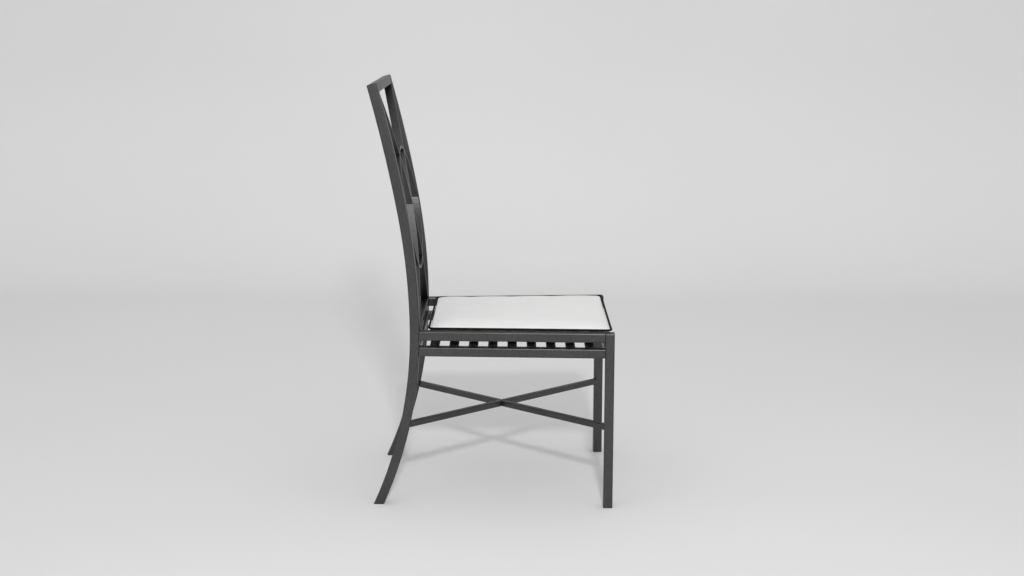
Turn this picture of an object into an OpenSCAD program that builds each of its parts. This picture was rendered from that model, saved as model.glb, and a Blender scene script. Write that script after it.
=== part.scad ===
// Side chair in square metal tube: two turned side frames, a curved back that holds a
// lattice of curved flat bars, a slatted seat with a loose box pad, and crossed stretchers.
// Millimetres. X is across the chair, Y runs from front to back, Z is up.
// The origin is on the floor, under the middle of the chair's overall box.

/* [Frame] */
// Overall height of the back
height = 997.5; // [940:0.5:1060]
// Overall width across the front legs
front_w = 451; // [410:1:500]
// Depth of a side frame at seat height, along the frame
side_d = 477.3; // [430:0.1:520]
// Angle in degrees that each side frame turns in toward the back
side_turn = 2.92; // [1:0.01:5]
// Side of the square tube
tube_w = 22.2; // [20:0.1:26]
// Wall of the square tube
tube_wall = 1.6; // [1.2:0.1:2]
// Outside corner radius of the square tube
tube_r = 3; // [2.5:0.1:4]

/* [Legs and back curve] */
// Distance that each rear foot sweeps back behind the upright
foot_sweep = 92.4; // [60:0.1:120]
// Height above the seat rails over which the back curves tightly
bend_h = 273.7; // [220:0.1:320]
// Lean in degrees where the tight curve ends
bend_lean = 10.1; // [8:0.1:11.5]
// Lean in degrees at the top of the back
top_lean = 14.8; // [13.5:0.1:18]

/* [Seat rails and slats] */
// Height of the top of the upper seat rails
rail_top = 424.6; // [400:0.1:460]
// Drop from the top of the upper rails to the top of the lower rails
rail_step = 37.6; // [34:0.1:50]
// Number of seat slats
slat_n = 9; // [7:1:10]
// Width of a seat slat
slat_w = 22.2; // [18:0.1:26]
// Thickness of a seat slat
slat_t = 4; // [3:0.5:6]

/* [Back lattice] */
// Thickness of a lattice bar, seen from the front
bar_t = 6.4; // [5:0.1:12]
// Depth of a lattice bar, front to back
bar_d = 19; // [14:0.5:19.5]
// Angle in degrees between each diagonal and upright where the diagonals cross
cross_angle = 21.8; // [18:0.1:26]
// Distance that the diagonals cross below the middle of the opening
cross_drop = 3.7; // [0:0.1:12]
// Distance of each end of a diagonal from the corner of the opening
corner_inset = 9; // [6:1:20]
// Height of the top of the upper arch over the seat rails
upper_apex_h = 412.7; // [370:0.1:430]
// Height of the lowest point of the lower arch over the seat rails
lower_apex_h = 115.7; // [90:0.1:150]
// Reach of each arch's ellipse past the sides of the opening, which sets how round it is
arch_past = 15; // [8:0.5:60]
// Clearance in the halved joints where two bars cross
lap_gap = 0.1; // [0.05:0.05:0.3]

/* [Stretchers] */
// Height of the middle of the crossed stretchers
stretcher_z = 195; // [160:1:240]
// Side of the stretcher tube
stretcher_w = 14; // [11:0.5:17]
// Wall of the stretcher tube
stretcher_wall = 1.2; // [1:0.1:1.6]
// Outside corner radius of the stretcher tube
stretcher_r = 2; // [1.8:0.1:3]

/* [Feet] */
// Thickness of the glide under each leg
glide_foot = 2; // [1:0.5:4]
// Depth of the plug that holds a glide in its leg
glide_plug = 14; // [10:1:20]
// Clearance between a plug and the inside of its leg
plug_gap = 0.2; // [0.1:0.05:0.4]

/* [Seat pad] */
// Clearance between the pad's piping and the side rails
pad_side_gap = 1; // [0.5:0.1:4]
// Distance of the pad's front from the front of the legs
pad_front_gap = 4; // [1:0.5:12]
// Gap between the pad's back and the rear rails
pad_rear_gap = 18; // [4:0.5:30]
// Corner radius of the pad, at the piping
pad_corner_r = 12; // [9:0.5:30]
// Height of the boxing, from one piping to the other
pad_boxing = 26; // [20:0.5:40]
// Height of the crown of the pad's top over the piping
pad_crown = 11; // [6:0.5:20]
// Depth of the pad's full underside below the piping
pad_belly = 13.3; // [8:0.1:18]
// Distance that the middle of each side is drawn in
pad_draw = 2.5; // [0:0.5:6]
// Diameter of the piping
piping_d = 5; // [4:0.5:6]
// Clearance under the pad and around its piping
soft_gap = 0.3; // [0.2:0.05:0.6]

/* [Hidden] */
METAL = [0.3, 0.3, 0.3];
PLASTIC = [0.08, 0.08, 0.08];
COVER = [0.92, 0.92, 0.91];
PIPING = [0.03, 0.03, 0.03];
// Sides of a long, gentle arc and of a small round
ARC_FN = 720;
ROUND_FN = 32;
// Reach of a cutting or trimmed shape past the face that it is cut at, and of a bent
// length past its end, in degrees
OVER = 12;
RUN_ON = 2;
// Thinning of the upright's wall, inside and outside, over the tight curve
DRAW_DOWN = 0.02;
// Steps along each curve of the back, and along each half of a diagonal and an arch
BACK_STEPS = 12;
BACK_LAST = 2 * BACK_STEPS;
DIAGONAL_STEPS = 20;
DIAGONAL_LAST = 2 * DIAGONAL_STEPS + 2;
ARCH_STEPS = 30;
ARCH_LAST = 2 * ARCH_STEPS;
SIDES = ["left", "right"];
SLATS = [for (i = [1:slat_n]) str("seat_slat_", i)];

// Inside of the tube
bore_w = tube_w - 2 * tube_wall;
bore_r = tube_r - tube_wall;

// Reach of a leg's rounded section from its middle, along X and Y, once the leg is turned
turned_half = (tube_w / 2 - tube_r) * (cos(side_turn) + sin(side_turn)) + tube_r;

// The side frame is drawn as [distance behind the middle of the front leg, height].
// The back face of the upright is three arcs that meet in one tangent, and a straight head.
back_y = side_d - tube_w / 2;
foot_rad = (pow(rail_top, 2) + pow(foot_sweep, 2)) / (2 * foot_sweep);
bend_rad = bend_h / sin(bend_lean);
crest_drop = tube_w * sin(top_lean) - tube_r * (sin(top_lean) + cos(top_lean) - 1);
head_z = height - crest_drop - tube_w * cos(top_lean);
upper_rad = (head_z - rail_top - bend_h) / (sin(top_lean) - sin(bend_lean));
foot_angle = asin(rail_top / foot_rad);
foot_centre = [back_y + foot_rad, rail_top];
bend_centre = [back_y + bend_rad, rail_top];
upper_centre = bend_centre + (bend_rad - upper_rad) * forward(bend_lean);
head_start = upper_centre + upper_rad * forward(top_lean);
head_end = head_start + tube_w * upward(top_lean);

// Place of the front legs that centres the chair's overall depth on the origin
rear_reach = max(back_y + foot_sweep, head_end[0]);
turned_reach = (rear_reach - tube_r) * cos(side_turn) + (tube_w / 2 - tube_r) * sin(side_turn) + tube_r;
leg_x = front_w / 2 - turned_half;
leg_y = (turned_half - turned_reach) / 2;

// Rails and slats
upper_rail_z = rail_top - tube_w / 2;
lower_rail_z = upper_rail_z - rail_step;
lower_rail_top = rail_top - rail_step;
rear_rail_y = along_y(back_y - tube_w / 2);
slat_pitch = (rear_rail_y - leg_y) / (slat_n + 1);

// The back's curve, set square to the chair for the bars that run across it, so that it
// meets the top rail exactly
back_shift = along_y(head_start[0]) - head_start[0];
top_rail_centre = head_start + tube_w / 2 * (forward(top_lean) + upward(top_lean));

// Opening of the back, seen from the front, and the point where the diagonals cross
open_top = head_start[1] + tube_w / 2 * sin(top_lean);
cross_z = (rail_top + open_top) / 2 - cross_drop;
bar_mid = tube_w / 2;

// The arches' feet meet on the uprights, midway between the two apexes. The middle of each
// bar is an arc of an ellipse that runs from its apex to that point.
arch_foot_z = rail_top + (upper_apex_h + lower_apex_h) / 2;
arch_foot_x = open_x(arch_foot_z);
arch_rise = (upper_apex_h - lower_apex_h - bar_t) / 2;
arch_half_w = arch_foot_x + arch_past;
arch_half_h = arch_rise / (1 - sqrt(1 - pow(arch_foot_x / arch_half_w, 2)));

// Crossed stretchers: the corner of each leg that they run to, on the right side
stretcher_drop = rail_top - stretcher_z;
rear_front_y = foot_centre[0] - sqrt(pow(foot_rad + tube_w, 2) - pow(stretcher_drop, 2));
front_corner = [
    leg_x - tube_w / 2 * (cos(side_turn) + sin(side_turn)),
    leg_y + tube_w / 2 * (cos(side_turn) - sin(side_turn))
];
rear_corner = [
    leg_x - tube_w / 2 * cos(side_turn) - rear_front_y * sin(side_turn),
    along_y(rear_front_y) - tube_w / 2 * sin(side_turn)
];
cross_share = front_corner[0] / (front_corner[0] + rear_corner[0]);
cross_y = front_corner[1] + (rear_corner[1] - front_corner[1]) * cross_share;

// Seat pad: heights of the two lines of piping, and the path of the piping's middle
piping_r = piping_d / 2;
pad_low_z = lower_rail_top + soft_gap + pad_belly;
pad_high_z = pad_low_z + pad_boxing;
pad_front_y = leg_y - tube_w / 2 + pad_front_gap + piping_r;
pad_back_y = rear_rail_y - tube_w / 2 - pad_rear_gap - piping_r;
pad_centre = [0, (pad_front_y + pad_back_y) / 2];
CORNER_STEPS = 4;
SIDE_STEPS = 8;
PIPING_SIDES = 8;
// Corners in turn from the front right: side of the chair, front or back, and the
// directions that the piping faces as it enters and leaves the corner
PAD_CORNERS = [
    [1, pad_front_y + pad_corner_r, -90, side_turn],
    [1, pad_back_y - pad_corner_r, side_turn, 90],
    [-1, pad_back_y - pad_corner_r, 90, 180 - side_turn],
    [-1, pad_front_y + pad_corner_r, 180 - side_turn, 270]
];
// Profile of the pad's edge as [set in from the piping's middle, share of the boxing]
EDGE = [
    [piping_r + soft_gap, 0],
    [piping_r * 0.6, 0.25],
    [piping_r * 0.45, 0.5],
    [piping_r * 0.6, 0.75],
    [piping_r + soft_gap, 1]
];
// Shares of the way from the pad's edge to its middle, and how flat the crown is there
CROWN_STEPS = [0, 0.03, 0.07, 0.13, 0.22, 0.38, 0.65];
CROWN_POWER = 11;
crown_inset = piping_r + 3 * soft_gap;

// Direction toward the front, and up the back, where the back leans by an angle
function forward(a) = [-cos(a), sin(a)];
function upward(a) = [sin(a), cos(a)];

// Place along Y of a point on the middle plane of a side frame
function along_y(s) = leg_y + s * cos(side_turn);

// Distance from the chair's middle to the inner face of a side frame, at a place along Y
function inner_x(y) = leg_x - tube_w / 2 / cos(side_turn) - (y - leg_y) * tan(side_turn);

// Back face of the upright at a height over the rails, as a distance along the side frame
function upright_y(z) = z < rail_top + bend_h
    ? bend_centre[0] - sqrt(pow(bend_rad, 2) - pow(z - rail_top, 2))
    : upper_centre[0] - sqrt(pow(upper_rad, 2) - pow(z - upper_centre[1], 2));

// Half the width of the back's opening at a height
function open_x(z) = inner_x(back_shift + upright_y(z) - bar_mid);

// Middle of a pad corner's arc
function corner_x(y) = inner_x(y) - (pad_side_gap + piping_r + pad_corner_r) / cos(side_turn);

// Line up the back, at a distance in front of its back face, from the rear rail's top to
// the top rail's underside
function back_line(d) = concat(
    [for (i = [0:BACK_STEPS - 1]) bend_centre + (bend_rad + d) * forward(bend_lean * i / BACK_STEPS)],
    [
        for (i = [0:BACK_STEPS])
            upper_centre + (upper_rad + d) * forward(bend_lean + (top_lean - bend_lean) * i / BACK_STEPS)
    ]
);

// Edge of a diagonal, at a distance from its middle. Each half is one arc, which rises from
// the crossing to near a corner of the opening and runs on a little past it.
function half_edge(end_x, rise, d) = let (
    turn = atan2(end_x, rise) - cross_angle,
    radius = norm([end_x, rise]) / (2 * sin(turn)),
    middle = radius * [cos(cross_angle), -sin(cross_angle)]
) [
    for (i = [1:DIAGONAL_STEPS + 1]) let (a = cross_angle + 2 * turn * i / DIAGONAL_STEPS)
        middle + (radius + d) * [-cos(a), sin(a)]
];
function diagonal_edge(d) = let (
    lower = half_edge(open_x(rail_top) - corner_inset, cross_z - rail_top, -d),
    upper = half_edge(open_x(open_top) - corner_inset, open_top - cross_z, d)
) concat(
    [for (i = [DIAGONAL_STEPS:-1:0]) -lower[i]],
    [d * [-cos(cross_angle), sin(cross_angle)]],
    upper
);

// Edge of an arch, at a distance outside its middle, seen from the middle of its ellipse
function arch_edge(d) = [
    for (i = [-ARCH_STEPS:ARCH_STEPS]) let (
        a = 90 * i / ARCH_STEPS,
        out = [sin(a) / arch_half_w, cos(a) / arch_half_h]
    ) [arch_half_w * sin(a), arch_half_h * cos(a)] + d * out / norm(out)
];

// One point round a pad corner, set in from the middle of the piping
function corner_point(k, a, inset) = let (c = PAD_CORNERS[k])
    [c[0] * corner_x(c[1]), c[1]] + (pad_corner_r - inset) * [cos(a), sin(a)];

// Outline of the pad, set in from the middle of the piping, with its sides drawn in
function corner_arc(k, inset) = let (c = PAD_CORNERS[k]) [
    for (i = [0:CORNER_STEPS]) corner_point(k, c[2] + (c[3] - c[2]) * i / CORNER_STEPS, inset)
];
function side_run(k, inset) = let (
    a = PAD_CORNERS[k][3],
    p = corner_point(k, a, inset),
    q = corner_point((k + 1) % 4, a, inset)
) [
    for (i = [1:SIDE_STEPS - 1]) let (f = i / SIDE_STEPS)
        p + (q - p) * f - pad_draw * 4 * f * (1 - f) * [cos(a), sin(a)]
];
function pad_outline(inset) = [
    for (k = [0:3]) each concat(corner_arc(k, inset), side_run(k, inset))
];

// Rings of the pad from the middle of its underside to the middle of its top
function crown_ring(share, edge_z, rise) = [
    for (p = pad_outline(crown_inset)) let (q = pad_centre + (p - pad_centre) * (1 - share))
        [q[0], q[1], edge_z + rise * (1 - pow(1 - share, CROWN_POWER))]
];
function edge_ring(e) = [
    for (p = pad_outline(e[0])) [p[0], p[1], pad_low_z + e[1] * pad_boxing]
];
function pad_rings() = concat(
    [for (i = [len(CROWN_STEPS) - 1:-1:0]) crown_ring(CROWN_STEPS[i], pad_low_z - soft_gap, soft_gap - pad_belly)],
    [for (e = EDGE) edge_ring(e)],
    [for (s = CROWN_STEPS) crown_ring(s, pad_high_z + soft_gap, pad_crown - soft_gap)]
);

// Square with rounded corners, and the section of a tube
module rounded_square(w, r) {
    square([w, w - 2 * r], center = true);
    square([w - 2 * r, w], center = true);
    for (x = [-1, 1], y = [-1, 1])
        translate([x, y] * (w / 2 - r))
            circle(r, $fn = ROUND_FN);
}

module tube_section(w, r, wall) {
    difference() {
        rounded_square(w, r);
        rounded_square(w - 2 * wall, r - wall);
    }
}

// Places a part that is drawn with X along its length, Y back and Z up
module across(length) {
    rotate([90, 0, 90])
        linear_extrude(length, center = true)
            children();
}

// Places a side frame that is drawn with its middle plane at X = 0
module on_side(side) {
    mirror([side == "right" ? 1 : 0, 0, 0])
        translate([-leg_x, leg_y, 0])
            rotate([0, 0, -side_turn])
                children();
}

// Everything between the inner faces of the two side frames
module between_sides() {
    y0 = leg_y - tube_w;
    y1 = along_y(rear_reach) + tube_w;
    linear_extrude(height + OVER)
        polygon([
            [-inner_x(y0), y0],
            [inner_x(y0), y0],
            [inner_x(y1), y1],
            [-inner_x(y1), y1]
        ]);
}

// Square post that stands on its end, with its top edges rounded
module post(h) {
    intersection() {
        linear_extrude(h)
            rounded_square(tube_w, tube_r);
        across(tube_w)
            post_face(h);
        rotate([90, 0, 0])
            linear_extrude(tube_w, center = true)
                post_face(h);
    }
}

module post_face(h) {
    translate([-tube_w / 2, 0])
        square([tube_w, h - tube_r]);
    translate([tube_r - tube_w / 2, 0])
        square([tube_w - 2 * tube_r, h]);
    for (x = [-1, 1])
        translate([x * (tube_w / 2 - tube_r), h - tube_r])
            circle(tube_r, $fn = ROUND_FN);
}

// Bent bar that starts at the origin, square to Z, and leans back as it rises
module bent(radius, angle) {
    rotate([90, 0, -90])
        translate([-radius - tube_w / 2, 0, 0])
            rotate_extrude(angle = angle, $fn = ARC_FN)
                translate([radius + tube_w / 2, 0])
                    children();
}

// Carries on from the end of a bent bar
module after_bend(radius, angle) {
    translate([0, radius + tube_w / 2, 0])
        rotate([-angle, 0, 0])
            translate([0, -radius - tube_w / 2, 0])
                children();
}

// Places along the upright: level with the seat rails, where the tight curve ends, and
// where the head starts
module at_waist() {
    translate([0, back_y - tube_w / 2, rail_top])
        children();
}

module at_bend() {
    at_waist()
        after_bend(bend_rad, bend_lean)
            children();
}

module at_head() {
    at_bend()
        after_bend(upper_rad, top_lean - bend_lean)
            children();
}

module over_level() {
    translate([-front_w, -front_w, 0])
        cube([2 * front_w, 2 * front_w, height]);
}

// Curved length of the upright, from below the floor to the waist
module foot_curve() {
    at_waist()
        mirror([0, 0, 1])
            bent(foot_rad, foot_angle + RUN_ON)
                children();
}

// The whole curved length, in one section up to the end of the tight curve and in another
// from there to the head
module upright_sweep(w, upper_w, r) {
    foot_curve()
        rounded_square(w, r);
    difference() {
        at_waist()
            bent(bend_rad, bend_lean + RUN_ON)
                rounded_square(w, r);
        at_bend()
            over_level();
    }
    difference() {
        at_head()
            mirror([0, 0, 1])
                bent(upper_rad, top_lean - bend_lean + RUN_ON)
                    rounded_square(upper_w, r);
        at_bend()
            mirror([0, 0, 1])
                over_level();
    }
}

// Half space behind the front face of the upright, below the seat rails' top
module behind_upright() {
    translate([0, foot_centre[0], foot_centre[1]])
        across(2 * tube_w)
            circle(foot_rad + tube_w, $fn = ARC_FN);
}

module below(z) {
    translate([-front_w, -side_d, z - rail_top])
        cube([2 * front_w, 2 * side_d + 2 * foot_sweep, rail_top]);
}

// Front leg
module front_leg(side) {
    color(METAL)
        on_side(side)
            difference() {
                post(rail_top);
                translate([0, 0, -OVER])
                    linear_extrude(rail_top - tube_wall + OVER)
                        rounded_square(bore_w, bore_r);
                below(glide_foot);
            }
}

// Rear leg and upright, one bent tube with a closed head
module rear_leg(side) {
    color(METAL)
        on_side(side)
            difference() {
                union() {
                    upright_sweep(tube_w, tube_w - 2 * DRAW_DOWN, tube_r);
                    at_head()
                        post(tube_w);
                }
                upright_sweep(bore_w, bore_w + 2 * DRAW_DOWN, bore_r);
                at_head()
                    linear_extrude(tube_w - tube_wall)
                        rounded_square(bore_w, bore_r);
                below(glide_foot);
            }
}

// Side rail from the front leg to the upright, with its back end cut to the upright's curve
module side_rail(side, z) {
    color(METAL)
        on_side(side)
            difference() {
                translate([0, tube_w / 2, z])
                    rotate([-90, 0, 0])
                        linear_extrude(back_y - tube_w)
                            tube_section(tube_w, tube_r, tube_wall);
                behind_upright();
            }
}

// Rail across the chair, between the side frames
module cross_rail(y, z, lean = 0) {
    color(METAL)
        intersection() {
            translate([0, y, z])
                rotate([-lean, 0, 0])
                    across(front_w)
                        tube_section(tube_w, tube_r, tube_wall);
            between_sides();
        }
}

// Flat slat between the lower side rails, level with their tops
module seat_slat(i) {
    color(METAL)
        intersection() {
            translate([-front_w / 2, leg_y + i * slat_pitch - slat_w / 2, lower_rail_top - slat_t])
                cube([front_w, slat_w, slat_t]);
            between_sides();
        }
}

// Stretcher tube from one point to another, at the stretchers' height
module stretcher_run(p, q, before, past) {
    run = q - p;
    translate([p[0], p[1], stretcher_z])
        rotate([0, 0, atan2(run[1], run[0])])
            translate([-before, 0, 0])
                rotate([90, 0, 90])
                    linear_extrude(norm(run) + before + past)
                        children();
}

// The legs, as the stretchers are cut to seat on them
module leg_seats() {
    for (side = SIDES)
        on_side(side) {
            translate([-tube_w / 2, -tube_w / 2, 0])
                cube([tube_w, tube_w, rail_top]);
            behind_upright();
        }
}

module stretcher_long() {
    color(METAL)
        difference() {
            stretcher_run([-front_corner[0], front_corner[1]], rear_corner, stretcher_w, stretcher_w)
                tube_section(stretcher_w, stretcher_r, stretcher_wall);
            leg_seats();
        }
}

module long_stretcher_body() {
    stretcher_run([-front_corner[0], front_corner[1]], rear_corner, 0, 0)
        square(stretcher_w, center = true);
}

module stretcher_half_front() {
    color(METAL)
        difference() {
            stretcher_run(front_corner, [0, cross_y], stretcher_w, 0)
                tube_section(stretcher_w, stretcher_r, stretcher_wall);
            leg_seats();
            long_stretcher_body();
        }
}

module stretcher_half_rear() {
    color(METAL)
        difference() {
            stretcher_run([0, cross_y], [-rear_corner[0], rear_corner[1]], 0, stretcher_w)
                tube_section(stretcher_w, stretcher_r, stretcher_wall);
            leg_seats();
            long_stretcher_body();
        }
}

// The layer of the back that lies between two distances in front of its back face
module back_layer(near, far) {
    across(front_w)
        translate([back_shift, 0])
            polygon(concat(back_line(near), [for (i = [BACK_LAST:-1:0]) back_line(far)[i]]));
}

module bar_layer() {
    back_layer(bar_mid - bar_d / 2, bar_mid + bar_d / 2);
}

module front_half_layer() {
    back_layer(bar_mid, bar_mid + bar_d);
}

module rear_half_layer() {
    back_layer(bar_mid - bar_d, bar_mid);
}

// Carries a shape that is seen from the front through the back
module through_back() {
    translate([0, along_y(rear_reach) + OVER, 0])
        rotate([90, 0, 0])
            linear_extrude(rear_reach)
                children();
}

// A whole diagonal, which bends one way above the crossing and the other way below it
module diagonal_shape(t) {
    translate([0, cross_z])
        polygon(concat(diagonal_edge(t / 2), [for (i = [DIAGONAL_LAST:-1:0]) diagonal_edge(-t / 2)[i]]));
}

// An arch through its apex, cut level where it meets the other; way is -1 where it hangs
module arch_shape(apex_h, way, t) {
    foot_h = arch_half_h - arch_rise + lap_gap / 2;
    translate([0, rail_top + apex_h])
        scale([1, way])
            translate([0, -bar_t / 2 - arch_half_h])
                intersection() {
                    polygon(concat(arch_edge(t / 2), [for (i = [ARCH_LAST:-1:0]) arch_edge(-t / 2)[i]]));
                    translate([-arch_half_w - t, foot_h])
                        square([2 * arch_half_w + 2 * t, arch_half_h + t]);
                }
}

// Outlines of the four bars by name, at a thickness
module bar_shape(name, t) {
    if (name == "diagonal_right")
        diagonal_shape(t);
    if (name == "diagonal_left")
        mirror([1, 0])
            diagonal_shape(t);
    if (name == "arch_upper")
        arch_shape(upper_apex_h, 1, t);
    if (name == "arch_lower")
        arch_shape(lower_apex_h, -1, t);
}

// A lattice bar, halved where it passes over or under each bar that it crosses
module lattice_bar(name, behind, before) {
    color(METAL)
        difference() {
            intersection() {
                through_back()
                    bar_shape(name, bar_t);
                bar_layer();
                between_sides();
            }
            for (other = behind)
                halving(other)
                    rear_half_layer();
            for (other = before)
                halving(other)
                    front_half_layer();
        }
}

module halving(other) {
    intersection() {
        through_back()
            bar_shape(other, bar_t + 2 * lap_gap);
        children();
    }
}

// Glide that closes a front leg and plugs into it
module glide_front(side) {
    color(PLASTIC)
        on_side(side) {
            linear_extrude(glide_foot)
                rounded_square(tube_w, tube_r);
            linear_extrude(glide_foot + glide_plug)
                rounded_square(bore_w - 2 * plug_gap, bore_r);
        }
}

// Glide of a rear leg, which follows the leg's curve
module glide_rear(side) {
    color(PLASTIC)
        on_side(side) {
            intersection() {
                foot_curve()
                    rounded_square(tube_w, tube_r);
                floor_slab(glide_foot);
            }
            intersection() {
                foot_curve()
                    rounded_square(bore_w - 2 * plug_gap, bore_r);
                floor_slab(glide_foot + glide_plug);
            }
        }
}

module floor_slab(h) {
    translate([-tube_w, back_y - tube_w, 0])
        cube([2 * tube_w, 3 * tube_w + foot_sweep, h]);
}

// Faces of a tube or pad whose rings run in order, closed at its ends by fans
function wall_faces(rings, count, closed) = [
    for (r = [0:rings - (closed ? 1 : 2)], i = [0:count - 1]) let (
        a = r * count + i,
        b = r * count + (i + 1) % count,
        c = ((r + 1) % rings) * count + i,
        d = ((r + 1) % rings) * count + (i + 1) % count
    ) each [[a, c, d], [a, d, b]]
];

module seat_cushion() {
    rings = pad_rings();
    count = len(rings[0]);
    last = len(rings) * count;
    points = concat(
        [for (ring = rings) each ring],
        [[pad_centre[0], pad_centre[1], pad_low_z - pad_belly]],
        [[pad_centre[0], pad_centre[1], pad_high_z + pad_crown]]
    );
    faces = concat(
        wall_faces(len(rings), count, false),
        [for (i = [0:count - 1]) [last, i, (i + 1) % count]],
        [for (i = [0:count - 1]) [last + 1, last - count + (i + 1) % count, last - count + i]]
    );
    color(COVER)
        polyhedron(points, faces);
}

// Piping round the pad's outline, at a height
module piping(z) {
    path = pad_outline(0);
    n = len(path);
    rings = [
        for (i = [0:n - 1]) let (
            ahead = path[(i + 1) % n] - path[(i + n - 1) % n],
            out = [ahead[1], -ahead[0]] / norm(ahead)
        ) [
            for (k = [0:PIPING_SIDES - 1]) let (a = (k + 0.5) * 360 / PIPING_SIDES)
                [
                    path[i][0] + piping_r * cos(a) * out[0],
                    path[i][1] + piping_r * cos(a) * out[1],
                    z + piping_r * sin(a)
                ]
        ]
    ];
    color(PIPING)
        polyhedron([for (ring = rings) each ring], wall_faces(n, PIPING_SIDES, true));
}

front_leg("left");  // front_leg_left
front_leg("right");  // front_leg_right
rear_leg("left");  // rear_leg_left
rear_leg("right");  // rear_leg_right
side_rail("left", upper_rail_z);  // side_rail_upper_left
side_rail("right", upper_rail_z);  // side_rail_upper_right
side_rail("left", lower_rail_z);  // side_rail_lower_left
side_rail("right", lower_rail_z);  // side_rail_lower_right
cross_rail(rear_rail_y, upper_rail_z);  // rear_rail_upper
cross_rail(rear_rail_y, lower_rail_z);  // rear_rail_lower
cross_rail(leg_y, lower_rail_z);  // front_rail
cross_rail(along_y(top_rail_centre[0]), top_rail_centre[1], top_lean);  // top_rail
for (i = [1:slat_n]) seat_slat(i);
stretcher_long();
stretcher_half_front();
stretcher_half_rear();
lattice_bar("diagonal_left", ["diagonal_right"], ["arch_upper", "arch_lower"]);  // back_diagonal_left
lattice_bar("diagonal_right", ["arch_upper", "arch_lower"], ["diagonal_left"]);  // back_diagonal_right
lattice_bar("arch_upper", ["diagonal_left"], ["diagonal_right"]);  // back_arch_upper
lattice_bar("arch_lower", ["diagonal_left"], ["diagonal_right"]);  // back_arch_lower
glide_front("left");  // glide_front_left
glide_front("right");  // glide_front_right
glide_rear("left");  // glide_rear_left
glide_rear("right");  // glide_rear_right
seat_cushion();
piping(pad_high_z);  // piping_top
piping(pad_low_z);  // piping_bottom
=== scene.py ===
import math

import bmesh
import bpy
from bpy.props import FloatProperty, FloatVectorProperty, PointerProperty
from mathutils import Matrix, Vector


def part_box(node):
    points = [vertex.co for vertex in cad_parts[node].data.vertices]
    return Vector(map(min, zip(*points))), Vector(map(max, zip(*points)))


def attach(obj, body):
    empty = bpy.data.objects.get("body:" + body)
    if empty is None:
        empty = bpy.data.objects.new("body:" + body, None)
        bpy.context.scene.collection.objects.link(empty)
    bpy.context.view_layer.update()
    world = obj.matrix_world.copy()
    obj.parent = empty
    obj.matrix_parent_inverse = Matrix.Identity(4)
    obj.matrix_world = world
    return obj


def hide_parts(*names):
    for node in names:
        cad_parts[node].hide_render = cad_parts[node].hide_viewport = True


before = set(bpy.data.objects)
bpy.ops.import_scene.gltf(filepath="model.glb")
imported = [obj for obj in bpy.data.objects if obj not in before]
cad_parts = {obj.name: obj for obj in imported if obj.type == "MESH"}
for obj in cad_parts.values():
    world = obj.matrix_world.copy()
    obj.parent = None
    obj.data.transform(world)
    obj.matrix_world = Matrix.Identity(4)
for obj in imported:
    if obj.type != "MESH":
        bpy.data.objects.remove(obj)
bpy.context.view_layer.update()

bl_info = {
    "name": "Metal side chair",
    "version": (1, 0, 0),
    "blender": (4, 5, 0),
    "location": "View3D > Sidebar > Side chair",
    "description": "Dresses the side chair: powder coat, loose box pad with piping, and a studio",
    "category": "Object",
}

PIPING_LOW, PIPING_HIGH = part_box("piping_bottom"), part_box("piping_top")
PAD_LOW, PAD_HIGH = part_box("seat_cushion")
CORD = PIPING_HIGH[1].z - PIPING_HIGH[0].z
SEAM_LOW = (PIPING_LOW[0].z + PIPING_LOW[1].z) / 2
SEAM_HIGH = (PIPING_HIGH[0].z + PIPING_HIGH[1].z) / 2
METAL_NODES = [
    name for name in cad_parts
    if not name.startswith(("glide", "piping", "seat_cushion"))
]
GLIDE_NODES = [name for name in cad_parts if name.startswith("glide")]

# The finishes: how far the coat's roughness varies, then sizes and heights of their textures
COAT_GLOSS_SPREAD = 0.03
COAT_CLOUD = 0.09
COAT_RIPPLE = 0.000015
SPARK_SIZE = 0.0006
SPARK_GRAIN = 0.00008
SCUFF_SIZE = 0.008
SLUB_SIZE = 0.0035
COVER_CLOUD = 0.07
SOFT_RIPPLE_SIZE = 0.03
SOFT_RIPPLE = 0.0012
THREAD_HEIGHT = 0.00012
FLUFF_SIZE = 0.002
PIPING_THREAD_HEIGHT = 0.00015
PAPER_CLOUD = 1.7

# The pad's body
BODY_INSET = CORD * 0.45
HELD_BAND = CORD * 0.35
TOP_SWELL_SHARE = 0.6
UNDERSIDE_SWELL_SHARE = 0.4
BOXING_PINCH = 0.016
BOXING_ZONE = 0.9
CROWN_CLEARANCE = 0.0002
SLAT_CLEARANCE = 0.0003
BODY_CORNER_STEPS = 4
CLOTH_STEPS = 20

# The piping
CORD_CORNER_STEPS = 8
CORD_CUTS = 31
CORD_ROUNDING = 4
CORD_PROUD = 0.0003
LONG_EDGE = 0.05

# The studio
BACKDROP_FOOT = 3.1
BACKDROP_CURVE = 0.9
BACKDROP_HEIGHT = 8
BACKDROP_STEPS = 24
NEAR = 0.1
FLOOR_DEPTH = 34
FLOOR_WIDTH = 60
KEY_SIZE = 0.35
KEY_AIM = (0, 0, 0.45)
SENSOR_WIDTH = 36
VIEW_END = 100
WHITE = (1, 1, 1, 1)


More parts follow.
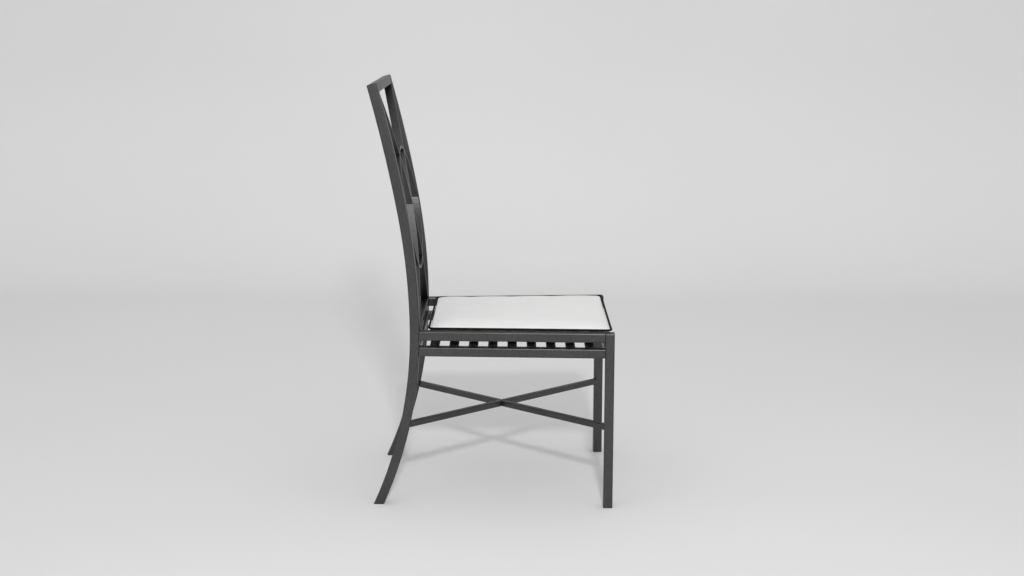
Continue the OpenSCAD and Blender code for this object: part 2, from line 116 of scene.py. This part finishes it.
class ChairFinish(bpy.types.PropertyGroup):
    """Colours and textures of the powder coat and the glides"""
    coat_colour: FloatVectorProperty(
        name="Coat colour", description="Colour of the powder coat",
        subtype="COLOR", size=4, min=0, max=1, default=(0.084, 0.084, 0.085, 1))
    coat_metal: FloatProperty(
        name="Metal flake",
        description="Share of metal flake in the coat, which keeps its shaded sides dark",
        subtype="FACTOR", min=0, max=1, default=1.0)
    coat_edge: FloatProperty(
        name="Edge sheen",
        description="How much of its usual gleam the coat has where it is seen at a low angle",
        subtype="FACTOR", min=0, max=1, default=0.78)
    coat_roughness: FloatProperty(
        name="Coat roughness", description="Roughness of the powder coat",
        subtype="FACTOR", min=0.05, max=1, default=0.36)
    mottle: FloatProperty(
        name="Mottling", description="How far the coat's colour varies over the metal",
        subtype="FACTOR", min=0, max=1, default=0.18)
    mottle_size: FloatProperty(
        name="Mottling size", description="Size of one patch of the mottling",
        subtype="DISTANCE", unit="LENGTH", min=0.001, max=0.05, default=0.004)
    peel_size: FloatProperty(
        name="Coat texture size",
        description="Size of the fine ripples that baking leaves in the coat",
        subtype="DISTANCE", unit="LENGTH", min=0.0003, max=0.005, default=0.0012)
    glide_colour: FloatVectorProperty(
        name="Glide colour", description="Colour of the moulded glides under the legs",
        subtype="COLOR", size=4, min=0, max=1, default=(0.012, 0.012, 0.013, 1))


class ChairPad(bpy.types.PropertyGroup):
    """Sizes and colours of the seat pad"""
    front_half: FloatProperty(
        name="Half width at the front",
        description="From the pad's middle to the piping at the front corners",
        subtype="DISTANCE", unit="LENGTH", min=0.15, max=0.25, default=0.19899)
    back_half: FloatProperty(
        name="Half width at the back",
        description="From the pad's middle to the piping at the back corners",
        subtype="DISTANCE", unit="LENGTH", min=0.15, max=0.25, default=0.17840)
    corner: FloatProperty(
        name="Corner radius", description="Radius of the pad's corners, at the piping",
        subtype="DISTANCE", unit="LENGTH", min=0.009, max=0.03, default=0.012)
    draw: FloatProperty(
        name="Drawn-in sides", description="Distance that the middle of each side is drawn in",
        subtype="DISTANCE", unit="LENGTH", min=0, max=0.006, default=0.0006)
    fullness: FloatProperty(
        name="Fullness", description="How steeply the top and underside rise from the piping",
        min=2, max=40, default=24)
    voxel: FloatProperty(
        name="Cloth grid", description="Size of the cloth's grid while the filling presses on it",
        subtype="DISTANCE", unit="LENGTH", min=0.004, max=0.008, default=0.005)
    pressure: FloatProperty(
        name="Filling pressure", description="Pressure of the filling on the cover",
        min=0, max=20, default=4)
    swell: FloatProperty(
        name="Most swelling",
        description="The furthest that a point of the cover moves as the pad fills",
        subtype="DISTANCE", unit="LENGTH", min=0.002, max=0.02, default=0.008)
    cover_colour: FloatVectorProperty(
        name="Cover colour", description="Colour of the woven cover",
        subtype="COLOR", size=4, min=0, max=1, default=(0.82, 0.82, 0.815, 1))
    piping_colour: FloatVectorProperty(
        name="Piping colour", description="Colour of the cloth over the piping cord",
        subtype="COLOR", size=4, min=0, max=1, default=(0.006, 0.006, 0.007, 1))
    thread: FloatProperty(
        name="Thread pitch", description="Distance from one thread of the weave to the next",
        subtype="DISTANCE", unit="LENGTH", min=0.0004, max=0.002, default=0.0009)


class ChairStudio(bpy.types.PropertyGroup):
    """Floor, backdrop, lamps and camera"""
    floor_colour: FloatVectorProperty(
        name="Floor colour", description="Colour of the floor and backdrop",
        subtype="COLOR", size=4, min=0, max=1, default=(0.78, 0.78, 0.78, 1))
    key_place: FloatVectorProperty(
        name="Key lamp place", description="Place of the lamp above and beside the camera",
        subtype="TRANSLATION", unit="LENGTH", size=3, default=(-4.25, -0.33, 2.72))
    key_power: FloatProperty(
        name="Key lamp", description="Power of the lamp above and beside the camera",
        subtype="POWER", unit="POWER", min=0, max=5000, default=30)
    key_spread: FloatProperty(
        name="Key lamp spread", description="Angle over which the key lamp spreads its light",
        subtype="ANGLE", unit="ROTATION", min=0.2, max=3.14, default=1.75)
    side_light: FloatProperty(
        name="Light from the sides",
        description="Brightness of the surroundings at the level of the floor",
        min=0, max=2, default=0.88)
    sky_light: FloatProperty(
        name="Light from above", description="Brightness of the surroundings straight overhead",
        min=0, max=2, default=0.69)
    seen_level: FloatProperty(
        name="Background",
        description="Brightness of the surroundings where the camera looks past the paper",
        min=0, max=1, default=0.67)
    lens: FloatProperty(
        name="Lens", description="Focal length of the camera",
        subtype="DISTANCE_CAMERA", min=20, max=120, default=50)
    camera_place: FloatVectorProperty(
        name="Camera place", description="Place of the camera",
        subtype="TRANSLATION", unit="LENGTH", size=3, default=(-3.42735, -0.0458, 1.18204))
    camera_dip: FloatProperty(
        name="Camera dip", description="Angle by which the camera looks down",
        subtype="ANGLE", unit="ROTATION", min=0, max=1.5, default=0.2)


class Nodes:
    """Adds shader nodes to a new material and joins them up"""

    def __init__(self, name):
        self.material = bpy.data.materials.new(name)
        self.material.use_nodes = True
        self.tree = self.material.node_tree
        self.shader = self.tree.nodes["Principled BSDF"]

    def add(self, kind, label="", **values):
        node = self.tree.nodes.new(kind)
        node.label = label
        for name, value in values.items():
            setattr(node, name, value)
        return node

    def join(self, out, into):
        self.tree.links.new(out, into)

    def place(self):
        """The Object coordinates of the piece"""
        return self.add("ShaderNodeTexCoord").outputs["Object"]

    def noise(self, size, detail=3, rough=0.55, label=""):
        node = self.add("ShaderNodeTexNoise", label)
        node.inputs["Scale"].default_value = 1 / size
        node.inputs["Detail"].default_value = detail
        node.inputs["Roughness"].default_value = rough
        self.join(self.place(), node.inputs["Vector"])
        return node.outputs["Fac"]

    def span(self, value, low, high, start=0.0, end=1.0, label=""):
        """Takes a value from start..end to low..high"""
        node = self.add("ShaderNodeMapRange", label)
        node.inputs["From Min"].default_value = start
        node.inputs["From Max"].default_value = end
        node.inputs["To Min"].default_value = low
        node.inputs["To Max"].default_value = high
        self.join(value, node.inputs["Value"])
        return node.outputs["Result"]

    def maths(self, operation, first, second=None):
        node = self.add("ShaderNodeMath", operation=operation)
        for socket, value in zip(node.inputs, (first, second)):
            if value is None:
                continue
            if isinstance(value, (int, float)):
                socket.default_value = value
            else:
                self.join(value, socket)
        return node.outputs["Value"]

    def tint(self, factor, first, second, label=""):
        node = self.add("ShaderNodeMix", label, data_type="RGBA")
        node.inputs["A"].default_value = first
        node.inputs["B"].default_value = second
        self.join(factor, node.inputs["Factor"])
        return node.outputs["Result"]

    def bump(self, height, depth, strength=1.0, below=None, label=""):
        node = self.add("ShaderNodeBump", label)
        node.inputs["Distance"].default_value = depth
        node.inputs["Strength"].default_value = strength
        self.join(height, node.inputs["Height"])
        if below is not None:
            self.join(below, node.inputs["Normal"])
        return node.outputs["Normal"]


def shade(colour, factor):
    """A colour made lighter or darker"""
    return [min(1.0, c * factor) for c in colour[:3]] + [1.0]


def powder_coat(finish):
    """Dark, fine-textured powder coat on steel, a little mottled"""
    make = Nodes("powder_coat")
    patches = make.noise(finish.mottle_size, 4, 0.6, "Mottling")
    clouds = make.noise(COAT_CLOUD, 2, 0.5, "Broad variation")
    mixed = make.maths(
        "ADD", make.maths("MULTIPLY", patches, 0.7), make.maths("MULTIPLY", clouds, 0.3))
    spread = make.span(mixed, 0, 1, 0.33, 0.67, "Spread")
    colour = make.tint(
        spread,
        shade(finish.coat_colour, 1 - finish.mottle),
        shade(finish.coat_colour, 1 + finish.mottle))
    make.join(colour, make.shader.inputs["Base Color"])
    rough = make.span(
        patches,
        finish.coat_roughness - COAT_GLOSS_SPREAD,
        finish.coat_roughness + COAT_GLOSS_SPREAD,
        0.3, 0.7, "Gloss variation")
    make.join(rough, make.shader.inputs["Roughness"])
    ripples = make.noise(finish.peel_size, 2, 0.5, "Baked ripples")
    make.join(
        make.bump(ripples, COAT_RIPPLE, 0.6, label="Coat texture"), make.shader.inputs["Normal"])
    make.shader.inputs["Specular IOR Level"].default_value = 0.5
    make.shader.inputs["Metallic"].default_value = finish.coat_metal
    make.shader.inputs["Specular Tint"].default_value = [finish.coat_edge] * 3 + [1.0]
    return make.material


def moulded_plastic(finish):
    """Black moulded plastic with a fine spark texture"""
    make = Nodes("moulded_plastic")
    grain = make.noise(SPARK_SIZE, 2, 0.6, "Spark texture")
    scuffs = make.noise(SCUFF_SIZE, 3, 0.6, "Scuffs")
    colour = make.tint(
        make.span(scuffs, 0, 1, 0.45, 0.75), finish.glide_colour, shade(finish.glide_colour, 2.2))
    make.join(colour, make.shader.inputs["Base Color"])
    make.join(make.span(scuffs, 0.5, 0.72, 0.3, 0.7), make.shader.inputs["Roughness"])
    make.join(make.bump(grain, SPARK_GRAIN, 0.6), make.shader.inputs["Normal"])
    return make.material


def weave(make, pitch):
    """Plain weave on three axes, taken from whichever pair of axes lies in the surface"""
    place = make.add("ShaderNodeSeparateXYZ")
    make.join(make.place(), place.inputs["Vector"])
    facing = make.add("ShaderNodeSeparateXYZ")
    make.join(make.add("ShaderNodeTexCoord").outputs["Normal"], facing.inputs["Vector"])
    turns = math.pi / pitch
    waves = [
        make.maths("SINE", make.maths("MULTIPLY", place.outputs[axis], turns)) for axis in "XYZ"
    ]
    total = None
    for axis, (first, second) in {"Z": (0, 1), "X": (1, 2), "Y": (0, 2)}.items():
        cross = make.maths("MULTIPLY", waves[first], waves[second])
        share = make.maths("POWER", make.maths("ABSOLUTE", facing.outputs[axis]), 4)
        part = make.maths("MULTIPLY", cross, share)
        total = part if total is None else make.maths("ADD", total, part)
    return make.span(total, 0, 1, -1, 1, "Weave")


def woven_cover(pad):
    """Pale woven cover with a soft nap"""
    make = Nodes("woven_cover")
    threads = weave(make, pad.thread)
    slubs = make.noise(SLUB_SIZE, 3, 0.6, "Slubs")
    clouds = make.noise(COVER_CLOUD, 2, 0.5, "Broad variation")
    mixed = make.maths(
        "ADD", make.maths("MULTIPLY", threads, 0.55), make.maths("MULTIPLY", slubs, 0.45))
    colour = make.tint(
        make.span(mixed, 0, 1, 0.25, 0.75),
        shade(pad.cover_colour, 0.94), shade(pad.cover_colour, 1.03))
    broad = make.add("ShaderNodeMix", "Broad variation", data_type="RGBA", blend_type="MULTIPLY")
    broad.inputs["Factor"].default_value = 1.0
    make.join(colour, broad.inputs["A"])
    make.join(
        make.tint(make.span(clouds, 0, 1, 0.3, 0.7), (0.97, 0.97, 0.975, 1), (1, 1, 0.995, 1)),
        broad.inputs["B"])
    make.join(broad.outputs["Result"], make.shader.inputs["Base Color"])
    make.join(make.span(slubs, 0.82, 0.95, 0.3, 0.7), make.shader.inputs["Roughness"])
    soft = make.bump(
        make.noise(SOFT_RIPPLE_SIZE, 2, 0.5, "Soft ripples"), SOFT_RIPPLE, 0.35,
        label="Soft ripples")
    make.join(
        make.bump(threads, THREAD_HEIGHT, 0.7, soft, "Threads"), make.shader.inputs["Normal"])
    make.shader.inputs["Sheen Weight"].default_value = 0.12
    make.shader.inputs["Sheen Roughness"].default_value = 0.5
    make.shader.inputs["Specular IOR Level"].default_value = 0.25
    return make.material


def piping_cloth(pad):
    """Black cloth cut on the bias over a cord"""
    make = Nodes("piping_cloth")
    threads = weave(make, pad.thread * 0.8)
    fluff = make.noise(FLUFF_SIZE, 3, 0.6, "Fluff")
    colour = make.tint(
        make.span(make.maths("MULTIPLY", threads, fluff), 0, 1, 0.1, 0.6),
        shade(pad.piping_colour, 0.7), shade(pad.piping_colour, 1.8))
    make.join(colour, make.shader.inputs["Base Color"])
    make.join(make.span(fluff, 0.7, 0.9, 0.3, 0.7), make.shader.inputs["Roughness"])
    make.join(make.bump(threads, PIPING_THREAD_HEIGHT, 0.7), make.shader.inputs["Normal"])
    make.shader.inputs["Specular IOR Level"].default_value = 0.15
    return make.material


def finish_of(obj, material):
    """Gives a piece one material"""
    obj.data.materials.clear()
    obj.data.materials.append(material)
    for face in obj.data.polygons:
        face.material_index = 0


def start():
    """Leaves edit mode and selects nothing"""
    if bpy.context.object and bpy.context.object.mode != "OBJECT":
        bpy.ops.object.mode_set(mode="OBJECT")
    bpy.ops.object.select_all(action="DESELECT")


def only(obj):
    """Selects one piece and nothing else"""
    start()
    obj.select_set(True)
    bpy.context.view_layer.objects.active = obj


def settle(obj):
    """Puts a piece's place and size into its mesh"""
    only(obj)
    bpy.ops.object.transform_apply(location=True, rotation=True, scale=True)


def pick(obj, test, kind="VERT"):
    """In edit mode, selects the corners, or the edges, whose places pass a test"""
    mesh = bmesh.from_edit_mesh(obj.data)
    bpy.ops.mesh.select_mode(type=kind)
    bpy.ops.mesh.select_all(action="DESELECT")
    if kind == "VERT":
        for vert in mesh.verts:
            vert.select_set(test(vert.co))
    else:
        for edge in mesh.edges:
            edge.select_set(test(*[vert.co for vert in edge.verts]))
    mesh.select_flush_mode()
    bmesh.update_edit_mesh(obj.data)


def seat_plan(pad, set_in=0.0):
    """Half widths at the front and back, and the front and back places, of the pad's outline"""
    front, back = PIPING_HIGH[0].y + CORD / 2 + set_in, PIPING_HIGH[1].y - CORD / 2 - set_in
    return pad.front_half - set_in, pad.back_half - set_in, front, back


def drawn_in(pad, point, set_in):
    """Moves a point of the outline in, most at the middle of each side"""
    front_half, back_half, front, back = seat_plan(pad, set_in)
    along = min(1.0, max(0.0, (point.y - front) / (back - front)))
    half = front_half + (back_half - front_half) * along
    across = min(1.0, abs(point.x) / half)
    from_side = 4 * along * (1 - along) * pad.draw
    from_end = (1 - across * across) * pad.draw
    point.x -= math.copysign(from_side * across, point.x)
    middle = 2 * along - 1
    point.y -= from_end * middle


def add_plan(name, pad, set_in, corner_steps):
    """A flat trapezium with rounded corners, the pad's outline"""
    front_half, back_half, front, back = seat_plan(pad, set_in)
    start()
    bpy.ops.mesh.primitive_plane_add(size=1, location=(0, (front + back) / 2, 0))
    plan = bpy.context.object
    plan.name = plan.data.name = name
    plan.scale = (2 * front_half, back - front, 1)
    settle(plan)
    bpy.ops.object.mode_set(mode="EDIT")
    pick(plan, lambda co: co.y > 0)
    bpy.ops.transform.resize(value=(back_half / front_half, 1, 1), center_override=(0, 0, 0))
    bpy.ops.mesh.select_all(action="SELECT")
    bpy.ops.mesh.bevel(
        offset=pad.corner - set_in, offset_type="OFFSET", segments=corner_steps, profile=0.5,
        affect="VERTICES")
    return plan


def swell(pad_body, pad):
    """Presses the filling out against the cover, as cloth held at both lines of piping"""
    only(pad_body)
    rest = [vert.co.copy() for vert in pad_body.data.vertices]
    held = pad_body.vertex_groups.new(name="held")
    seams = [
        vert.index for vert in pad_body.data.vertices
        if SEAM_LOW - HELD_BAND < vert.co.z < SEAM_HIGH + HELD_BAND
    ]
    held.add(seams, 1.0, "REPLACE")
    cloth = pad_body.modifiers.new("cover", "CLOTH")
    cloth.settings.quality = 6
    cloth.settings.mass = 0.25
    cloth.settings.tension_stiffness = 12
    cloth.settings.compression_stiffness = 12
    cloth.settings.shear_stiffness = 6
    cloth.settings.bending_stiffness = 0.4
    cloth.settings.use_pressure = True
    cloth.settings.uniform_pressure_force = pad.pressure
    cloth.settings.vertex_group_mass = "held"
    cloth.settings.effector_weights.gravity = 0
    cloth.collision_settings.use_collision = False
    cloth.point_cache.frame_start = 1
    cloth.point_cache.frame_end = CLOTH_STEPS
    for step in range(1, CLOTH_STEPS + 1):
        bpy.context.scene.frame_set(step)
    bpy.ops.object.modifier_apply(modifier=cloth.name)
    bpy.context.scene.frame_set(1)
    for vert, before in zip(pad_body.data.vertices, rest):
        moved = vert.co - before
        if moved.length > pad.swell:
            vert.co = before + moved * (pad.swell / moved.length)
    pad_body.vertex_groups.clear()


class CHAIR_OT_powder_coat(bpy.types.Operator):
    """Gives the welded frame its powder coat"""
    bl_idname = "chair.powder_coat"
    bl_label = "Powder coat"

    def execute(self, context):
        coat = powder_coat(context.scene.chair_finish)
        for name in METAL_NODES:
            finish_of(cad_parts[name], coat)
        return {"FINISHED"}


class CHAIR_OT_glides(bpy.types.Operator):
    """Gives the glides under the legs their moulded finish"""
    bl_idname = "chair.glides"
    bl_label = "Glides"

    def execute(self, context):
        plastic = moulded_plastic(context.scene.chair_finish)
        for name in GLIDE_NODES:
            finish_of(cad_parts[name], plastic)
        return {"FINISHED"}


class CHAIR_OT_seat_pad(bpy.types.Operator):
    """Builds the seat pad: boxing, crowned top and full underside, pressed out by its filling"""
    bl_idname = "chair.seat_pad"
    bl_label = "Seat pad"

    def execute(self, context):
        pad = context.scene.chair_pad
        body = add_plan("seat_pad", pad, BODY_INSET, BODY_CORNER_STEPS)
        bpy.ops.mesh.select_all(action="SELECT")
        bpy.ops.mesh.extrude_region_move(
            TRANSFORM_OT_translate={"value": (0, 0, SEAM_HIGH - SEAM_LOW)})
        bpy.ops.mesh.select_all(action="SELECT")
        bpy.ops.transform.translate(value=(0, 0, SEAM_LOW))
        bpy.ops.mesh.normals_make_consistent(inside=False)
        bpy.ops.object.mode_set(mode="OBJECT")
        remesh = body.modifiers.new("grid", "REMESH")
        remesh.mode = "VOXEL"
        remesh.voxel_size = pad.voxel
        bpy.ops.object.modifier_apply(modifier=remesh.name)
        self.crown(body, pad)
        swell(body, pad)
        self.keep_inside(body, pad)
        smooth = body.modifiers.new("smooth", "SUBSURF")
        smooth.levels = smooth.render_levels = 1
        bpy.ops.object.modifier_apply(modifier=smooth.name)
        bpy.ops.object.shade_smooth()
        settle(body)
        finish_of(body, woven_cover(pad))
        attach(body, "cushion")
        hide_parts("seat_cushion")
        return {"FINISHED"}

    def crown(self, body, pad):
        """Raises the top into a low dome, fills the underside and draws the boxing in"""
        front_half, back_half, front, back = seat_plan(pad, BODY_INSET)
        rise = PAD_HIGH.z - SEAM_HIGH
        belly = SEAM_LOW - PAD_LOW.z
        height = SEAM_HIGH - SEAM_LOW
        for vert in body.data.vertices:
            co = vert.co
            along = (co.y - front) / (back - front)
            half = front_half + (back_half - front_half) * along
            across = min(1.0, abs(co.x) / half)
            lengthways = min(1.0, abs(2 * along - 1))
            edge = max(across, lengthways)
            dome = (1 - across ** pad.fullness) * (1 - lengthways ** pad.fullness)
            level = (co.z - SEAM_LOW) / height
            pinch = 1 - BOXING_PINCH * 4 * level * (1 - level) * (edge > BOXING_ZONE)
            if level > 0.5:
                co.z += (level - 0.5) * 2 * dome * (rise - pad.swell * TOP_SWELL_SHARE)
            else:
                co.z -= (0.5 - level) * 2 * dome * (belly - pad.swell * UNDERSIDE_SWELL_SHARE)
            drawn_in(pad, co, BODY_INSET)
            co.x *= pinch
            co.y = (co.y - (front + back) / 2) * pinch + (front + back) / 2

    def keep_inside(self, body, pad):
        """Keeps the cover inside its cords, flat over the slats and no higher than the crown"""
        front_half, back_half, front, back = seat_plan(pad, BODY_INSET)
        for vert in body.data.vertices:
            co = vert.co
            co.z = min(PAD_HIGH.z - CROWN_CLEARANCE, max(PAD_LOW.z + SLAT_CLEARANCE, co.z))
            co.y = min(back, max(front, co.y))
            half = front_half + (back_half - front_half) * (co.y - front) / (back - front)
            co.x = min(half, max(-half, co.x))


class CHAIR_OT_piping(bpy.types.Operator):
    """Runs a covered cord round the pad's top and bottom seams"""
    bl_idname = "chair.piping"
    bl_label = "Piping"

    def execute(self, context):
        pad = context.scene.chair_pad
        cloth = piping_cloth(pad)
        for name, node, level in (
            ("piping_cord_top", "piping_top", SEAM_HIGH),
            ("piping_cord_bottom", "piping_bottom", SEAM_LOW),
        ):
            cord = add_plan(name, pad, 0.0, CORD_CORNER_STEPS)
            bpy.ops.mesh.delete(type="ONLY_FACE")
            pick(cord, lambda a, b: (a - b).length > LONG_EDGE, "EDGE")
            bpy.ops.mesh.subdivide(number_cuts=CORD_CUTS)
            bpy.ops.object.mode_set(mode="OBJECT")
            for vert in cord.data.vertices:
                vert.co.z = level
                drawn_in(pad, vert.co, 0.0)
            only(cord)
            bpy.ops.object.convert(target="CURVE")
            cord.data.bevel_depth = CORD / 2 + CORD_PROUD
            cord.data.bevel_resolution = CORD_ROUNDING
            cord.data.use_fill_caps = False
            bpy.ops.object.convert(target="MESH")
            cord = context.object
            bpy.ops.object.mode_set(mode="EDIT")
            bpy.ops.mesh.select_all(action="SELECT")
            bpy.ops.mesh.remove_doubles(threshold=0.00001)
            bpy.ops.mesh.normals_make_consistent(inside=False)
            bpy.ops.object.mode_set(mode="OBJECT")
            bpy.ops.object.shade_smooth()
            settle(cord)
            finish_of(cord, cloth)
            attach(cord, "cushion")
            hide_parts(node)
        return {"FINISHED"}


class CHAIR_OT_studio(bpy.types.Operator):
    """Adds the floor and backdrop, the lamps and the camera"""
    bl_idname = "chair.studio"
    bl_label = "Studio"

    def execute(self, context):
        studio = context.scene.chair_studio
        self.sweep(studio)
        self.lamps(context, studio)
        self.camera(context, studio)
        return {"FINISHED"}

    def sweep(self, studio):
        """A floor that curves up into the backdrop"""
        start()
        bpy.ops.mesh.primitive_plane_add(size=1, location=(0, 0, 0))
        floor = bpy.context.object
        floor.name = floor.data.name = "studio_floor"
        floor.scale = (FLOOR_DEPTH, FLOOR_WIDTH, 1)
        floor.location.x = BACKDROP_FOOT - FLOOR_DEPTH / 2
        settle(floor)
        bpy.ops.object.mode_set(mode="EDIT")
        pick(floor, self.at_foot, "EDGE")
        bpy.ops.mesh.extrude_region_move(
            TRANSFORM_OT_translate={"value": (0, 0, BACKDROP_HEIGHT)})
        pick(floor, lambda a, b: self.at_foot(a, b) and max(a.z, b.z) < NEAR, "EDGE")
        bpy.ops.mesh.bevel(offset=BACKDROP_CURVE, segments=BACKDROP_STEPS, affect="EDGES")
        bpy.ops.object.mode_set(mode="OBJECT")
        bpy.ops.object.shade_smooth()
        make = Nodes("studio_paper")
        grain = make.noise(PAPER_CLOUD, 2, 0.5, "Paper")
        make.join(
            make.tint(
                make.span(grain, 0, 1, 0.3, 0.7),
                shade(studio.floor_colour, 0.985), shade(studio.floor_colour, 1.015)),
            make.shader.inputs["Base Color"])
        make.shader.inputs["Roughness"].default_value = 0.9
        make.shader.inputs["Specular IOR Level"].default_value = 0.1
        self.see_through_from_behind(make)
        finish_of(floor, make.material)

    def at_foot(self, a, b):
        """Tells whether an edge with these ends stands where the floor meets the backdrop"""
        return min(a.x, b.x) > BACKDROP_FOOT - NEAR

    def see_through_from_behind(self, make):
        """Lets the backdrop hide nothing from a camera that stands behind it"""
        side = make.add("ShaderNodeNewGeometry")
        clear = make.add("ShaderNodeBsdfTransparent")
        mix = make.add("ShaderNodeMixShader", "Clear from behind")
        make.join(side.outputs["Backfacing"], mix.inputs["Fac"])
        make.join(make.shader.outputs["BSDF"], mix.inputs[1])
        make.join(clear.outputs["BSDF"], mix.inputs[2])
        make.join(mix.outputs["Shader"], make.tree.nodes["Material Output"].inputs["Surface"])

    def lamps(self, context, studio):
        """A key lamp above and beside the camera, and pale surroundings"""
        place = Vector(studio.key_place)
        start()
        bpy.ops.object.light_add(type="AREA", location=place)
        lamp = context.object
        lamp.name = lamp.data.name = "key"
        lamp.data.shape = "DISK"
        lamp.data.size = KEY_SIZE
        lamp.data.energy = studio.key_power
        lamp.data.spread = studio.key_spread
        lamp.rotation_euler = (Vector(KEY_AIM) - place).to_track_quat("-Z", "Y").to_euler()
        world = context.scene.world or bpy.data.worlds.new("studio_world")
        context.scene.world = world
        world.use_nodes = True
        tree = world.node_tree
        tree.nodes.clear()
        surroundings = tree.nodes.new("ShaderNodeBackground")
        surroundings.inputs["Color"].default_value = WHITE
        way = tree.nodes.new("ShaderNodeTexCoord")
        height = tree.nodes.new("ShaderNodeSeparateXYZ")
        level = tree.nodes.new("ShaderNodeMapRange")
        level.inputs["To Min"].default_value = studio.side_light
        level.inputs["To Max"].default_value = studio.sky_light
        path = tree.nodes.new("ShaderNodeLightPath")
        seen = tree.nodes.new("ShaderNodeMix")
        seen.inputs["B"].default_value = studio.seen_level
        out = tree.nodes.new("ShaderNodeOutputWorld")
        tree.links.new(way.outputs["Generated"], height.inputs["Vector"])
        tree.links.new(height.outputs["Z"], level.inputs["Value"])
        tree.links.new(path.outputs["Is Camera Ray"], seen.inputs["Factor"])
        tree.links.new(level.outputs["Result"], seen.inputs["A"])
        tree.links.new(seen.outputs["Result"], surroundings.inputs["Strength"])
        tree.links.new(surroundings.outputs["Background"], out.inputs["Surface"])

    def camera(self, context, studio):
        """A camera at the photograph's place, and plain colour"""
        start()
        bpy.ops.object.camera_add(
            location=studio.camera_place,
            rotation=(math.pi / 2 - studio.camera_dip, 0, -math.pi / 2))
        camera = context.object
        camera.name = camera.data.name = "camera"
        camera.data.lens = studio.lens
        camera.data.sensor_width = SENSOR_WIDTH
        camera.data.clip_end = VIEW_END
        context.scene.camera = camera
        context.scene.view_settings.view_transform = "Standard"


STEPS = (
    CHAIR_OT_powder_coat, CHAIR_OT_glides, CHAIR_OT_seat_pad, CHAIR_OT_piping, CHAIR_OT_studio,
)
GROUPS = {"chair_finish": ChairFinish, "chair_pad": ChairPad, "chair_studio": ChairStudio}


class CHAIR_PT_panel(bpy.types.Panel):
    """Lists the steps and what can be changed in them"""
    bl_idname = "CHAIR_PT_panel"
    bl_label = "Side chair"
    bl_space_type = "VIEW_3D"
    bl_region_type = "UI"
    bl_category = "Side chair"

    def draw(self, context):
        for step in STEPS:
            self.layout.operator(step.bl_idname)
        for group, kind in GROUPS.items():
            box = self.layout.box()
            for name in kind.__annotations__:
                box.prop(getattr(context.scene, group), name)


def register():
    for kind in (*GROUPS.values(), *STEPS, CHAIR_PT_panel):
        bpy.utils.register_class(kind)
    for name, kind in GROUPS.items():
        setattr(bpy.types.Scene, name, PointerProperty(type=kind))


def unregister():
    for name in GROUPS:
        delattr(bpy.types.Scene, name)
    for kind in reversed((*GROUPS.values(), *STEPS, CHAIR_PT_panel)):
        bpy.utils.unregister_class(kind)


def main():
    register()
    bpy.ops.chair.powder_coat()
    bpy.ops.chair.glides()
    bpy.ops.chair.seat_pad()
    bpy.ops.chair.piping()
    bpy.ops.chair.studio()


if __name__ == "__main__":
    main()
